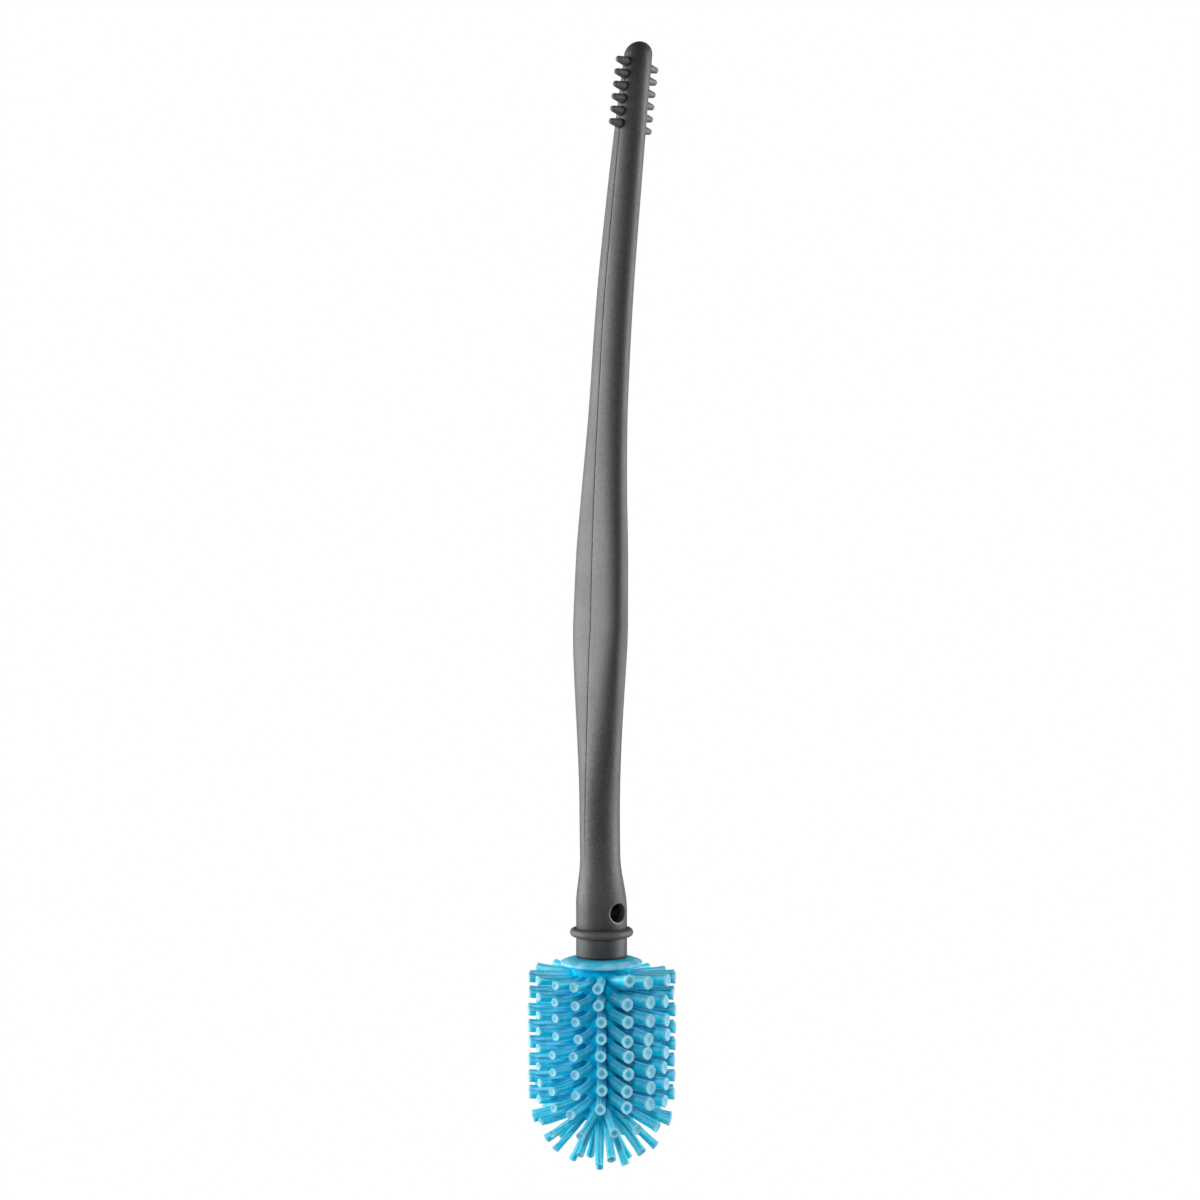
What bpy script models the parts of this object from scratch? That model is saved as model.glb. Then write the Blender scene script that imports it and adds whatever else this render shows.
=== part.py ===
"""Bottle brush: a grey moulded handle, and a soft finger head that is stretched over the handle's spigot.

The origin is the centre of the hanging hole, on the axis that the head and the bell share. +Z runs up the
handle, the hole runs along Y, and the handle's tip leans towards +X, in the plane of its mould line.
"""

from math import acos, copysign, cos, degrees, pi, radians, sin, sqrt

import bmesh
import bpy
from mathutils import Matrix, Vector

# Handle
HANDLE_TOP = 0.2810
HANDLE_SWEEP = 0.0168
GRIP_WIDTH = 0.0220
GRIP_THICKNESS = 0.0086
GRIP_HEIGHT = 0.0913
GRIP_SQUARENESS_SHARE = 1.1
NECK_DIAMETER = 0.0129
NECK_HEIGHT = 0.0253
TIP_DIAMETER = 0.0092

# Bell, bead and stub at the foot of the handle
BELL_DIAMETER = 0.0163
BELL_STRAIGHT = 0.0013
BELL_FLARE = 0.016
HOLE_DIAMETER = 0.006
BEAD_PROUD = 0.002
BEAD_THICKNESS = 0.0026
BEAD_DROP = 0.0068
STUB_DROP = 0.0144
STUB_EDGE = 0.0006

# Spigot inside the head, its wall, and the web that is left between its bore and the hanging hole
SPIGOT_DIAMETER = 0.0144
SPIGOT_WALL = 0.0018
BORE_WEB = 0.0028

# Small cleaning nubs at the tip
NUB_REACH = 0.0047
NUB_BASE_DIAMETER = 0.0036
NUB_TIP_DIAMETER = 0.0019
NUB_ROUND = 0.0006
NUB_PITCH = 0.0041
NUB_TOP_DROP = 0.0077
NUB_TILT = 3.5
NUBS_A_SIDE = 6

# Soft head
HEAD_DIAMETER = 0.0474
TRUNK_DIAMETER = 0.0186
FLANGE_DIAMETER = 0.0262
FLANGE_THICKNESS = 0.0012
FLANGE_DIP = 0.0012
FIRST_ROW_DROP = 0.0062
ROW_PITCH = 0.00527
DOME_DROP = 0.0012
FINGER_ROOT_DIAMETER = 0.0027
FINGER_TIP_DIAMETER = 0.0034
ROWS = 8
COLUMNS = 18
COLUMN_PHASE = 7.5

# Fingers of the domed end: how many, degrees below level, and where the first one stands
DOME_RINGS = ((16, 18.5, 237.5), (10, 42.0, 239.5), (5, 67.0, 285.5), (1, 90.0, 0.0))

# Clearance between pieces, how far a cutter runs past a face, and what counts as one point
SEAT_GAP = 0.0003
OVERRUN = 0.002
MERGE_WITHIN = 0.00001

# Sides of the turned and lofted surfaces
BODY_SIDES = 32
BODY_RINGS = 32
RING_CROWDING = 1.25
TIP_RINGS = 5
TRUNK_SIDES = 36
FINGER_SIDES = 6
NUB_SIDES = 8
HOLE_SIDES = 24
ARC_STEPS = 6
SMOOTH_ANGLE = 40

# Share of the way from neck to grip, with the share of the change in thickness and in width made there
NECK_TO_GRIP_SHARES = (
    (0.0, 0.0, 0.0),
    (0.15, 0.06, 0.055),
    (0.39, 0.34, 0.33),
    (0.64, 0.58, 0.64),
    (0.88, 0.80, 0.91),
    (1.0, 1.0, 1.0),
)
# The same from grip to tip
GRIP_TO_TIP_SHARES = (
    (0.0, 0.0, 0.0),
    (0.13, 0.25, 0.114),
    (0.22, 0.40, 0.287),
    (0.31, 0.55, 0.448),
    (0.39, 0.70, 0.555),
    (0.57, 1.0, 0.633),
    (0.75, 1.0, 0.734),
    (0.85, 1.0, 0.82),
    (1.0, 1.0, 1.0),
)
# Share of the handle's height, with the share of its sweep reached there
SWEEP_SHARES = (
    (0.0, 0.0),
    (0.07, -0.039),
    (0.13, -0.050),
    (0.24, -0.054),
    (0.355, -0.018),
    (0.47, 0.060),
    (0.58, 0.183),
    (0.70, 0.345),
    (0.81, 0.560),
    (0.90, 0.757),
    (1.0, 1.0),
)

HANDLE_COLOUR = (0.05, 0.05, 0.05, 1.0)
SILICONE_COLOUR = (0.02, 0.33, 0.58, 1.0)

SEAT_Z = -STUB_DROP - SEAT_GAP
INNER_RADIUS = SPIGOT_DIAMETER / 2 + SEAT_GAP
LAST_ROW_DROP = FIRST_ROW_DROP + (ROWS - 1) * ROW_PITCH
DOME_CENTRE_DROP = LAST_ROW_DROP + DOME_DROP
SLICE_HALF = (ROW_PITCH - SEAT_GAP) / 2
BORE_RADIUS = SPIGOT_DIAMETER / 2 - SPIGOT_WALL
BORE_TOP = -HOLE_DIAMETER / 2 - BORE_WEB


def clear_scene():
    for obj in list(bpy.data.objects):
        bpy.data.objects.remove(obj)


def new_collection(name):
    collection = bpy.data.collections.new(name)
    bpy.context.scene.collection.children.link(collection)
    return collection


def material(name, colour, roughness):
    made = bpy.data.materials.new(name)
    made.use_nodes = True
    shader = made.node_tree.nodes["Principled BSDF"]
    shader.inputs["Base Color"].default_value = colour
    shader.inputs["Roughness"].default_value = roughness
    shader.inputs["Metallic"].default_value = 0.0
    return made


def mesh_object(name, bm, collection):
    """A new object that holds this bmesh, with its faces turned outwards."""
    bmesh.ops.recalc_face_normals(bm, faces=bm.faces)
    mesh = bpy.data.meshes.new(name)
    bm.to_mesh(mesh)
    bm.free()
    obj = bpy.data.objects.new(name, mesh)
    collection.objects.link(obj)
    return obj


def as_helper(obj):
    obj.hide_render = True
    obj.display_type = "WIRE"
    return obj


def boolean(obj, other, operation):
    modifier = obj.modifiers.new(operation.lower() + "_" + other.name, "BOOLEAN")
    modifier.operation = operation
    modifier.solver = "EXACT"
    modifier.object = other


def finish(obj, finish_material):
    obj.data.materials.append(finish_material)
    obj.data.shade_smooth()
    obj.data.set_sharp_from_angle(angle=radians(SMOOTH_ANGLE))


def turned(name, profile, sides, collection, closed=False):
    """A profile of (radius, height) turned about Z. It runs down the outer side."""
    mesh = bpy.data.meshes.new(name)
    edges = [(i, i + 1) for i in range(len(profile) - 1)]
    if closed:
        edges.append((len(profile) - 1, 0))
    mesh.from_pydata([(radius, 0, height) for radius, height in profile], edges, [])
    obj = bpy.data.objects.new(name, mesh)
    collection.objects.link(obj)
    screw = obj.modifiers.new("turn", "SCREW")
    screw.steps = sides
    screw.render_steps = sides
    screw.use_merge_vertices = True
    screw.merge_threshold = MERGE_WITHIN
    return obj


def arc(centre_radius, centre_height, radius, start, end):
    """Points round a circle in the profile's plane, in degrees from level, from start to end."""
    angles = [radians(start + (end - start) * i / ARC_STEPS) for i in range(ARC_STEPS + 1)]
    return [(centre_radius + radius * cos(a), centre_height + radius * sin(a)) for a in angles]


def follow(shares, share, column):
    """A smooth curve through the given column of a table of shares, read at a share of its first column."""
    last = len(shares) - 1
    i = 0
    while i < last - 1 and share > shares[i + 1][0]:
        i += 1
    x0, x1 = shares[i][0], shares[i + 1][0]
    y0, y1 = shares[i][column], shares[i + 1][column]
    before, after = max(i - 1, 0), min(i + 2, last)
    slope0 = (y1 - shares[before][column]) / (x1 - shares[before][0])
    slope1 = (shares[after][column] - y0) / (shares[after][0] - x0)
    t = (share - x0) / (x1 - x0)
    step = x1 - x0
    return (
        (2 * t**3 - 3 * t**2 + 1) * y0
        + (t**3 - 2 * t**2 + t) * step * slope0
        + (3 * t**2 - 2 * t**3) * y1
        + (t**3 - t**2) * step * slope1
    )


def smooth_step(t):
    t = min(max(t, 0.0), 1.0)
    return t * t * (3 - 2 * t)


def sweep_at(height):
    """How far the handle's middle stands towards +X at this height. The bell stands on the axis."""
    if height <= 0:
        return 0.0
    return HANDLE_SWEEP * follow(SWEEP_SHARES, height / HANDLE_TOP, 1)


def section_at(height):
    """Half the thickness (X), half the width (Y) and the power of the handle's oval section at this height.

    A power of 2 is an ellipse. The wider the section, the higher its power and the squarer its corners.
    """
    tip_start = HANDLE_TOP - TIP_DIAMETER / 2
    if height < NECK_HEIGHT:
        opened = 1 - smooth_step((height - BELL_STRAIGHT) / BELL_FLARE)
        radius = (NECK_DIAMETER + (BELL_DIAMETER - NECK_DIAMETER) * opened) / 2
        return radius, radius, 2
    if height < GRIP_HEIGHT:
        share = (height - NECK_HEIGHT) / (GRIP_HEIGHT - NECK_HEIGHT)
        start, thickened = NECK_DIAMETER, follow(NECK_TO_GRIP_SHARES, share, 1)
        widened = follow(NECK_TO_GRIP_SHARES, share, 2)
    else:
        share = min((height - GRIP_HEIGHT) / (tip_start - GRIP_HEIGHT), 1.0)
        start, thickened = TIP_DIAMETER, 1 - follow(GRIP_TO_TIP_SHARES, share, 1)
        widened = 1 - follow(GRIP_TO_TIP_SHARES, share, 2)
    thickness = start + (GRIP_THICKNESS - start) * thickened
    width = start + (GRIP_WIDTH - start) * widened
    return thickness / 2, width / 2, 2 + GRIP_SQUARENESS_SHARE * widened**2


def oval_point(section, angle):
    """The point of an oval section at an angle from X, as its place across and along the width."""
    half_x, half_y, power = section
    x = copysign(abs(cos(angle)) ** (2 / power), cos(angle))
    y = copysign(abs(sin(angle)) ** (2 / power), sin(angle))
    return half_x * x, half_y * y


def foot_outline():
    """(radius, height) down the bore from its round end, round the spigot's end, and up to the bell."""
    bell = BELL_DIAMETER / 2
    spigot = SPIGOT_DIAMETER / 2
    bead_half = BEAD_THICKNESS / 2
    bead_out = bell + BEAD_PROUD - bead_half
    end = SEAT_Z - DOME_CENTRE_DROP
    outline = arc(0, BORE_TOP - BORE_RADIUS, BORE_RADIUS, 90, 0)[1:]
    outline += arc(0, end, spigot, -degrees(acos(BORE_RADIUS / spigot)), 0)
    outline += [(spigot, -STUB_DROP)]
    outline += arc(bell - STUB_EDGE, -STUB_DROP + STUB_EDGE, STUB_EDGE, -90, 0)
    outline += [(bell, -BEAD_DROP - bead_half)]
    outline += arc(bead_out, -BEAD_DROP, bead_half, -90, 90)
    outline += [(bell, -BEAD_DROP + bead_half)]
    return outline


def handle_sections():
    """Height and section of each ring of the handle, from the bore's round end over the foot to the tip."""
    tip_start = HANDLE_TOP - TIP_DIAMETER / 2
    sections = [(height, (radius, radius, 2)) for radius, height in foot_outline()]
    for i in range(BODY_RINGS + 1):
        # Rings stand closer together at the bell, where the outline turns fastest.
        height = tip_start * (i / BODY_RINGS) ** RING_CROWDING
        sections.append((height, section_at(height)))
    for i in range(1, TIP_RINGS):
        angle = pi / 2 * i / TIP_RINGS
        radius = TIP_DIAMETER / 2 * cos(angle)
        sections.append((tip_start + TIP_DIAMETER / 2 * sin(angle), (radius, radius, 2)))
    return sections


def close_ring(bm, ring, tip):
    """A fan of faces from a ring of points to one tip."""
    point = bm.verts.new(tip)
    for i in range(BODY_SIDES):
        bm.faces.new((ring[i], ring[(i + 1) % BODY_SIDES], point))


def handle_body(collection):
    """The handle with its bead, stub, spigot and bore, lofted through its sections as one skin."""
    bm = bmesh.new()
    rings = []
    for height, section in handle_sections():
        ring = []
        for i in range(BODY_SIDES):
            x, y = oval_point(section, 2 * pi * i / BODY_SIDES)
            ring.append(bm.verts.new((sweep_at(height) + x, y, height)))
        rings.append(ring)
    for lower, upper in zip(rings, rings[1:]):
        for i in range(BODY_SIDES):
            j = (i + 1) % BODY_SIDES
            bm.faces.new((lower[i], lower[j], upper[j], upper[i]))
    close_ring(bm, rings[0], (0, 0, BORE_TOP))
    close_ring(bm, rings[-1], (sweep_at(HANDLE_TOP), 0, HANDLE_TOP))
    return mesh_object("handle", bm, collection)


def nubs(collection):
    """Two rows of round-ended nubs on the mould line, one to each side of the tip."""
    bm = bmesh.new()
    top = HANDLE_TOP - NUB_TOP_DROP
    for side in (-1, 1):
        for i in range(NUBS_A_SIDE):
            height = top - i * NUB_PITCH
            half_x = section_at(height)[0]
            length = half_x / 2 + NUB_REACH
            # The nub's own axis leaves the handle's middle, a little off level.
            turn = Matrix.Rotation(side * (pi / 2 + side * radians(NUB_TILT)), 4, "Y")
            along = Matrix.Translation((0, 0, half_x / 2 + length / 2))
            place = Matrix.Translation((sweep_at(height), 0, height)) @ turn @ along
            flat_up = Matrix.Rotation(pi / NUB_SIDES, 4, "Z")
            made = bmesh.ops.create_cone(
                bm,
                cap_ends=True,
                segments=NUB_SIDES,
                radius1=NUB_BASE_DIAMETER / 2,
                radius2=NUB_TIP_DIAMETER / 2,
                depth=length,
                matrix=place @ flat_up,
            )
            farthest = sorted(made["verts"], key=lambda v: abs(v.co.x - sweep_at(height)))
            ends = set(farthest[NUB_SIDES:])
            rim = [e for e in bm.edges if e.verts[0] in ends and e.verts[1] in ends]
            bmesh.ops.bevel(bm, geom=rim, offset=NUB_ROUND, segments=2, profile=0.5, affect="EDGES")
    return as_helper(mesh_object("nubs", bm, collection))


def cross_hole(collection):
    bm = bmesh.new()
    bmesh.ops.create_cone(
        bm,
        cap_ends=True,
        segments=HOLE_SIDES,
        radius1=HOLE_DIAMETER / 2,
        radius2=HOLE_DIAMETER / 2,
        depth=BELL_DIAMETER + 2 * OVERRUN,
        matrix=Matrix.Rotation(pi / 2, 4, "X") @ Matrix.Rotation(pi / HOLE_SIDES, 4, "Z"),
    )
    return as_helper(mesh_object("hanging_hole", bm, collection))


def build_handle(parts, cutters, grey):
    """One moulding: grip, nubs, bell, bead, stub and hollow spigot."""
    handle = handle_body(parts)
    boolean(handle, nubs(cutters), "UNION")
    boolean(handle, cross_hole(cutters), "DIFFERENCE")
    finish(handle, grey)


def add_finger(bm, direction, root_distance, tip_distance):
    """A six-sided finger along a direction from the centre, from inside the trunk's skin to its tip."""
    length = tip_distance - root_distance
    middle = Matrix.Translation(direction * (root_distance + length / 2))
    turn = direction.to_track_quat("Z", "Y").to_matrix().to_4x4()
    bmesh.ops.create_cone(
        bm,
        cap_ends=True,
        segments=FINGER_SIDES,
        radius1=FINGER_ROOT_DIAMETER / 2,
        radius2=FINGER_TIP_DIAMETER / 2,
        depth=length,
        matrix=middle @ turn,
    )


def finger_ring(name, count, below, first, drop, collection):
    """Fingers that point out from the axis, below degrees under level, round a centre this far down."""
    bm = bmesh.new()
    root_distance = TRUNK_DIAMETER / 2 - SEAT_GAP
    for i in range(count):
        angle = radians(first + 360 * i / count)
        level = cos(radians(below))
        direction = Vector((level * cos(angle), level * sin(angle), -sin(radians(below))))
        add_finger(bm, direction, root_distance, HEAD_DIAMETER / 2)
    bmesh.ops.translate(bm, verts=bm.verts, vec=(0, 0, -drop))
    return as_helper(mesh_object(name, bm, collection))


def head_piece(obj, head_axis, silicone):
    """Hangs a slice of the head on the empty that stands where the head meets the stub."""
    obj.parent = head_axis
    finish(obj, silicone)


def build_flange(parts, head_axis, silicone):
    """Round-edged flange, flat under the stub and falling to its rim, with the top of the trunk."""
    trunk = TRUNK_DIAMETER / 2
    edge = FLANGE_THICKNESS / 2
    under = -FLANGE_DIP - FLANGE_THICKNESS
    foot = -FIRST_ROW_DROP + SLICE_HALF + SEAT_GAP
    profile = [(BELL_DIAMETER / 2, 0)]
    profile += arc(FLANGE_DIAMETER / 2 - edge, -FLANGE_DIP - edge, edge, 90, -90)
    profile += [(trunk, under), (trunk, foot), (INNER_RADIUS, foot), (INNER_RADIUS, 0)]
    head_piece(turned("head_flange", profile, TRUNK_SIDES, parts, closed=True), head_axis, silicone)


def build_rows(parts, cutters, head_axis, silicone):
    """Each row of fingers on its own slice of the trunk."""
    trunk = TRUNK_DIAMETER / 2
    for row in range(ROWS):
        drop = FIRST_ROW_DROP + row * ROW_PITCH
        top, foot = -drop + SLICE_HALF, -drop - SLICE_HALF
        profile = [(trunk, top), (trunk, foot), (INNER_RADIUS, foot), (INNER_RADIUS, top)]
        name = f"finger_row_{row + 1}"
        ring = turned(name, profile, TRUNK_SIDES, parts, closed=True)
        fingers = finger_ring(f"fingers_{row + 1}", COLUMNS, 0, COLUMN_PHASE, drop, cutters)
        fingers.parent = head_axis
        boolean(ring, fingers, "UNION")
        head_piece(ring, head_axis, silicone)


def build_dome(parts, cutters, head_axis, silicone):
    """The closed round end of the head, with its rings of fingers."""
    outer = TRUNK_DIAMETER / 2
    rim = -LAST_ROW_DROP - SLICE_HALF - SEAT_GAP
    below = -DOME_CENTRE_DROP - rim
    profile = [(0, -DOME_CENTRE_DROP - INNER_RADIUS)]
    profile += arc(0, -DOME_CENTRE_DROP, INNER_RADIUS, -90, 0)[1:-1]
    profile += [(INNER_RADIUS, -DOME_CENTRE_DROP)]
    profile = [(radius, height) for radius, height in profile if height < rim]
    profile += [(sqrt(INNER_RADIUS**2 - below**2), rim), (sqrt(outer**2 - below**2), rim)]
    profile += arc(0, -DOME_CENTRE_DROP, outer, 0, -90)[1:-1]
    profile += [(0, -DOME_CENTRE_DROP - outer)]
    dome = turned("finger_dome", profile, TRUNK_SIDES, parts)
    for i, (count, level, first) in enumerate(DOME_RINGS):
        fingers = finger_ring(f"dome_fingers_{i + 1}", count, level, first, DOME_CENTRE_DROP, cutters)
        fingers.parent = head_axis
        boolean(dome, fingers, "UNION")
    head_piece(dome, head_axis, silicone)


def main():
    clear_scene()
    parts = new_collection("bottle_brush")
    cutters = new_collection("cutters")
    grey = material("handle_plastic", HANDLE_COLOUR, 0.6)
    silicone = material("head_silicone", SILICONE_COLOUR, 0.45)
    build_handle(parts, cutters, grey)
    head_axis = bpy.data.objects.new("head_axis", None)
    head_axis.location = (0, 0, SEAT_Z)
    parts.objects.link(head_axis)
    build_flange(parts, head_axis, silicone)
    build_rows(parts, cutters, head_axis, silicone)
    build_dome(parts, cutters, head_axis, silicone)


main()
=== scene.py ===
"""Bottle brush: the looks of its grey moulded handle and its soft blue finger head, round the packed frame.

The origin is the centre of the hanging hole, +Z runs up the handle, and the handle's mould line lies in the
plane of X and Z. Sizes are in metres. A drop is a distance below the origin on the handle, and below the
head's seat on the head.
"""

from math import acos, asin, copysign, cos, degrees, pi, radians, sin, sqrt
from typing import NamedTuple

import bmesh
import bpy
from bpy.props import FloatProperty, FloatVectorProperty, IntProperty, PointerProperty
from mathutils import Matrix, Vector


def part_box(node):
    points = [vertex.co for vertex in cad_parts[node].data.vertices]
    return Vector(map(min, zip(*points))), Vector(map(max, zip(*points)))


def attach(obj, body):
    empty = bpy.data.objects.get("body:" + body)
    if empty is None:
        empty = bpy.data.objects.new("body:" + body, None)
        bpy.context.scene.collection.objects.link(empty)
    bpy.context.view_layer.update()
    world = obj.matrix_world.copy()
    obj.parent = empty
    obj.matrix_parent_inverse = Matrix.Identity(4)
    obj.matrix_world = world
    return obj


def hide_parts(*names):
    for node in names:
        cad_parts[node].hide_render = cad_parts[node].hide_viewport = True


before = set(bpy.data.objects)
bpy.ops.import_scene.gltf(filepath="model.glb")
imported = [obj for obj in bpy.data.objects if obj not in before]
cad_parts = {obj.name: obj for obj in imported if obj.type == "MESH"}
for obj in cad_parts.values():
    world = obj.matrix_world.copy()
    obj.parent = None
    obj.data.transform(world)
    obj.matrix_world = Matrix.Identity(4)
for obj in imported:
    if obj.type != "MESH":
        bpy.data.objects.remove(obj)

bl_info = {
    "name": "Bottle Brush",
    "version": (1, 0, 0),
    "blender": (4, 5, 0),
    "location": "View3D > Sidebar > Bottle Brush",
    "description": "Builds a bottle brush with a moulded handle and a soft finger head",
    "category": "Add Mesh",
}

HANDLE_BODY = "handle"
HEAD_BODY = "silicone_head"
HANDLE_NODE = "handle"
FLANGE_NODE = "head_flange"
HEAD_NODES = sorted(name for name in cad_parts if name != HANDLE_NODE)

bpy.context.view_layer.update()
HANDLE_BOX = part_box(HANDLE_NODE)
FLANGE_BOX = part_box(FLANGE_NODE)
ROW_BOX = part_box("finger_row_1")

# Handle, above the bead
HANDLE_TOP = HANDLE_BOX[1].z
HANDLE_SWEEP = 0.0168
GRIP_WIDTH = 0.0220
GRIP_THICKNESS = 0.0086
GRIP_HEIGHT = 0.0913
GRIP_SQUARENESS_SHARE = 1.1
NECK_DIAMETER = 0.0129
NECK_HEIGHT = 0.0253
TIP_DIAMETER = 0.0092
BELL_DIAMETER = 0.0163
BELL_STRAIGHT = 0.0013
BELL_FLARE = 0.016
BELL_RING_DROPS = (0.0020, 0.0037)

# Bead, stub, spigot and bore
BEAD_DIAMETER = 0.0203
BEAD_THICKNESS = 0.0026
BEAD_DROP = 0.0068
STUB_DROP = 0.0144
STUB_RING_DROP = 0.0107
SPIGOT_DIAMETER = 0.0144
SPIGOT_RING_DROPS = (0.0154, 0.035)
BORE_DIAMETER = 0.0108
BORE_DROP = 0.0112
BORE_RING_DROPS = (0.035, 0.020)

# Head
SEAT_Z = FLANGE_BOX[1].z
INNER_RADIUS = 0.0075
TRUNK_RADIUS = 0.0093
FINGER_ROOT = (INNER_RADIUS + TRUNK_RADIUS) / 2
FINGER_REACH = (ROW_BOX[1].x - ROW_BOX[0].x) / 2
FIRST_ROW_DROP = 0.0062
ROW_PITCH = 0.00527
ROWS = 8
COLUMNS = 18
COLUMN_PHASE = 7.5
DOME_BELOW_ROWS = 0.0012
DOME_DROP = FIRST_ROW_DROP + (ROWS - 1) * ROW_PITCH + DOME_BELOW_ROWS
# The sock's mouth: how far its inner edge is cut down and back
MOUTH_EDGE_DROP = 0.0004
MOUTH_EDGE_WIDTH = 0.0002
# The flange's upper side, from its flat middle to its rim, as (radius, drop), and the fillet below it
FLANGE_SLOPE = ((0.0100, 0.00035), (0.0115, 0.00080))
FLANGE_FILLET = 0.0006

# Fingers
# Direction of the plane where the head's mould parts, how much stouter the fingers in it are, and how stout
# the dome's fingers are beside the others
PARTING_ANGLE = 267.5
PARTING_GIRTH_SHARE = 0.45
DOME_GIRTH_SHARE = 0.88
# Direction of the fingers whose dished ends get painted shade on the dish's floor, inside a pale rim. It
# comes again every quarter turn, and between two such directions the ends' whole faces are pale with painted
# shade
SHADED_DISH_ANGLE = 232.5
# Direction of the fingers that sag most, how far they do half way along, and how near to that direction, as a
# cosine, a finger starts to sag and sags fully
SAG_ANGLE = 177.5
SAG = 0.0007
SAG_COSINES = (0.6, 0.9)
# Fingers of the domed end: how many, degrees below level, and where the first one stands
DOME_RINGS = ((16, 18.5, 237.5), (10, 42.0, 239.5), (5, 67.0, 285.5), (1, 90.0, 0.0))
# Share of a stem's length, with its share of the full diameter there
FINGER_STATIONS = (
    (0.0, 1.12), (0.10, 0.92), (0.32, 0.85), (0.82, 0.86), (0.94, 0.94), (0.985, 1.0), (1.0, 0.95),
)
NUB_STATIONS = (
    (0.0, 1.0), (0.30, 0.86), (0.42, 0.78), (0.60, 0.67), (0.78, 0.56), (0.90, 0.49), (0.955, 0.42),
    (0.985, 0.29), (1.0, 0.12),
)
NUB_SIDES = 20
# Size of the opening within a finger's rim, and of the dish's floor within that opening
RIM_SHARE = 0.74
DISH_FLOOR_SHARE = 0.5
# A finger bends as this power of the way along it, and its flash stands out as this power of its roundness
BEND_POWER = 1.8
FLASH_POWER = 9.0

# Distances from the mould line of the columns of faces beside it, and the most of a narrow ring's half width
# that each of them takes
LINE_REACHES = (0.00012, 0.0003, 0.0008)
NARROW_LINE_SHARE = 0.09
# Heights over which the mould line's valley comes and goes
VALLEY_COMES, VALLEY_GOES = (0.010, 0.030), (0.264, 0.276)
# Faces round the cutter of the hanging hole, and how far its ends stand out
HOLE_SIDES = 48
CUTTER_SPARE = 0.002
# Degrees from level of a round end's last ring, before the fan of faces that closes it
LAST_RING = 84
# Edges sharper than this many degrees stay sharp
HANDLE_SHARP, CORE_SHARP, STEM_SHARP = 32, 50, 58

# Share of the way from neck to grip, with the share of the change in thickness and in width made there
NECK_TO_GRIP_SHARES = (
    (0.0, 0.0, 0.0), (0.15, 0.06, 0.055), (0.39, 0.34, 0.33), (0.64, 0.58, 0.64), (0.88, 0.80, 0.91),
    (1.0, 1.0, 1.0),
)
# The same from grip to tip
GRIP_TO_TIP_SHARES = (
    (0.0, 0.0, 0.0), (0.13, 0.25, 0.114), (0.22, 0.40, 0.287), (0.31, 0.55, 0.448), (0.39, 0.70, 0.555),
    (0.57, 1.0, 0.633), (0.75, 1.0, 0.734), (0.85, 1.0, 0.82), (1.0, 1.0, 1.0),
)
# Share of the handle's height, with the share of its sweep reached there
SWEEP_SHARES = (
    (0.0, 0.0), (0.07, -0.039), (0.13, -0.050), (0.24, -0.054), (0.355, -0.018), (0.47, 0.060),
    (0.58, 0.183), (0.70, 0.345), (0.81, 0.560), (0.90, 0.757), (1.0, 1.0),
)

# Heights over which the plastic's painted light and shade come and go: painted shade at the bell's foot,
# painted light over the grip, painted shade at the tip, and the mould line's own dark tone
FOOT_SHADE_GOES = (-0.0095, 0.014)
GRIP_LIGHT_COMES, GRIP_LIGHT_GOES = (0.035, 0.080), (0.262, 0.276)
TIP_SHADE_COMES = (0.266, 0.276)
LINE_COMES, LINE_GOES = (0.008, 0.030), (0.268, 0.276)
# Distances from the mould line over which its tone goes, and from the axis over which the painted shade at
# the foot does
LINE_EDGE = (0.00012, 0.00026)
BEAD_EDGE = (0.0084, 0.0092)
# The hanging hole's painted shade on its wall: distances from its axis, and from its middle, over which it
# goes
HOLE_WALL = (0.0031, 0.0033)
HOLE_MIDDLE = (0.0048, 0.0070)
# The painted highlight on the edge of the hole's mouths: distances from its axis, along the slant, and from
# its middle
MOUTH_COMES, MOUTH_GOES = (0.0030, 0.0031), (0.0034, 0.0037)
MOUTH_SLANT = (-0.003, 0.0015)
MOUTH_STARTS = (0.0066, 0.0070)
# Shares of a nub's length over which the painted shade round its root comes and goes, and its pebbled
# skin comes
NUB_ROOT_SHADE_COMES, NUB_ROOT_SHADE_GOES = (0.24, 0.28), (0.36, 0.44)
NUB_SKIN_COMES = (0.36, 0.46)

# The flange's painted light and shade: heights over which they come, and distances from the axis over which
# the painted shade beside the stub, the painted shade of the whole and the cloudy painted highlight on the
# lip change
FLANGE_COMES = (SEAT_Z - 0.0034, SEAT_Z - 0.0028)
STUB_SHADE_GOES = (0.0083, 0.0089)
FLANGE_SHADE_GOES = (0.0088, 0.0118)
LIP_HIGHLIGHT_COMES = (0.0098, 0.0116)
# Heights over which the dome's painted shade goes, and distances from the axis over which the lowest finger's
# painted shade on its dish does
DOME_SHADE_GOES = (-0.078, -0.058)
AXIS_END_GOES = (0.002, 0.003)

# Studio
FLOOR_REACH = 4.0
FLOOR_HEIGHT = -0.30
FLOOR_GREY = 0.5
FLOOR_SHADOW_GOES = (0.2, 0.75)
LAMP_HEIGHT = 0.08
LAMP_DISTANCE = 0.9
LAMP_TALL = 1.1
# The two lamps beside the brush: degrees to the right of the camera, and width
LEFT_LAMP = (-96, 1.0)
RIGHT_LAMP = (98, 0.7)
# Share of the light from all round that is left straight overhead
OVERHEAD_SHARE = 0.3
# The spot over the head: degrees to the right of the camera, its place, the height it is aimed at, and its
# beam in degrees with the share of it that is soft
HEAD_LAMP_BEARING = -4
HEAD_LAMP_DISTANCE = 0.80
HEAD_LAMP_HEIGHT = 0.33
HEAD_LAMP_AIM = -0.085
HEAD_LAMP_BEAM = 10
HEAD_LAMP_BLEND = 0.2
HEAD_LAMP_SIZE = 0.035
# The camera's sensor in millimetres, and the nearest and farthest that it sees
SENSOR_WIDTH = 36
CAMERA_SEES = (0.01, 50)


# Settings


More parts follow.
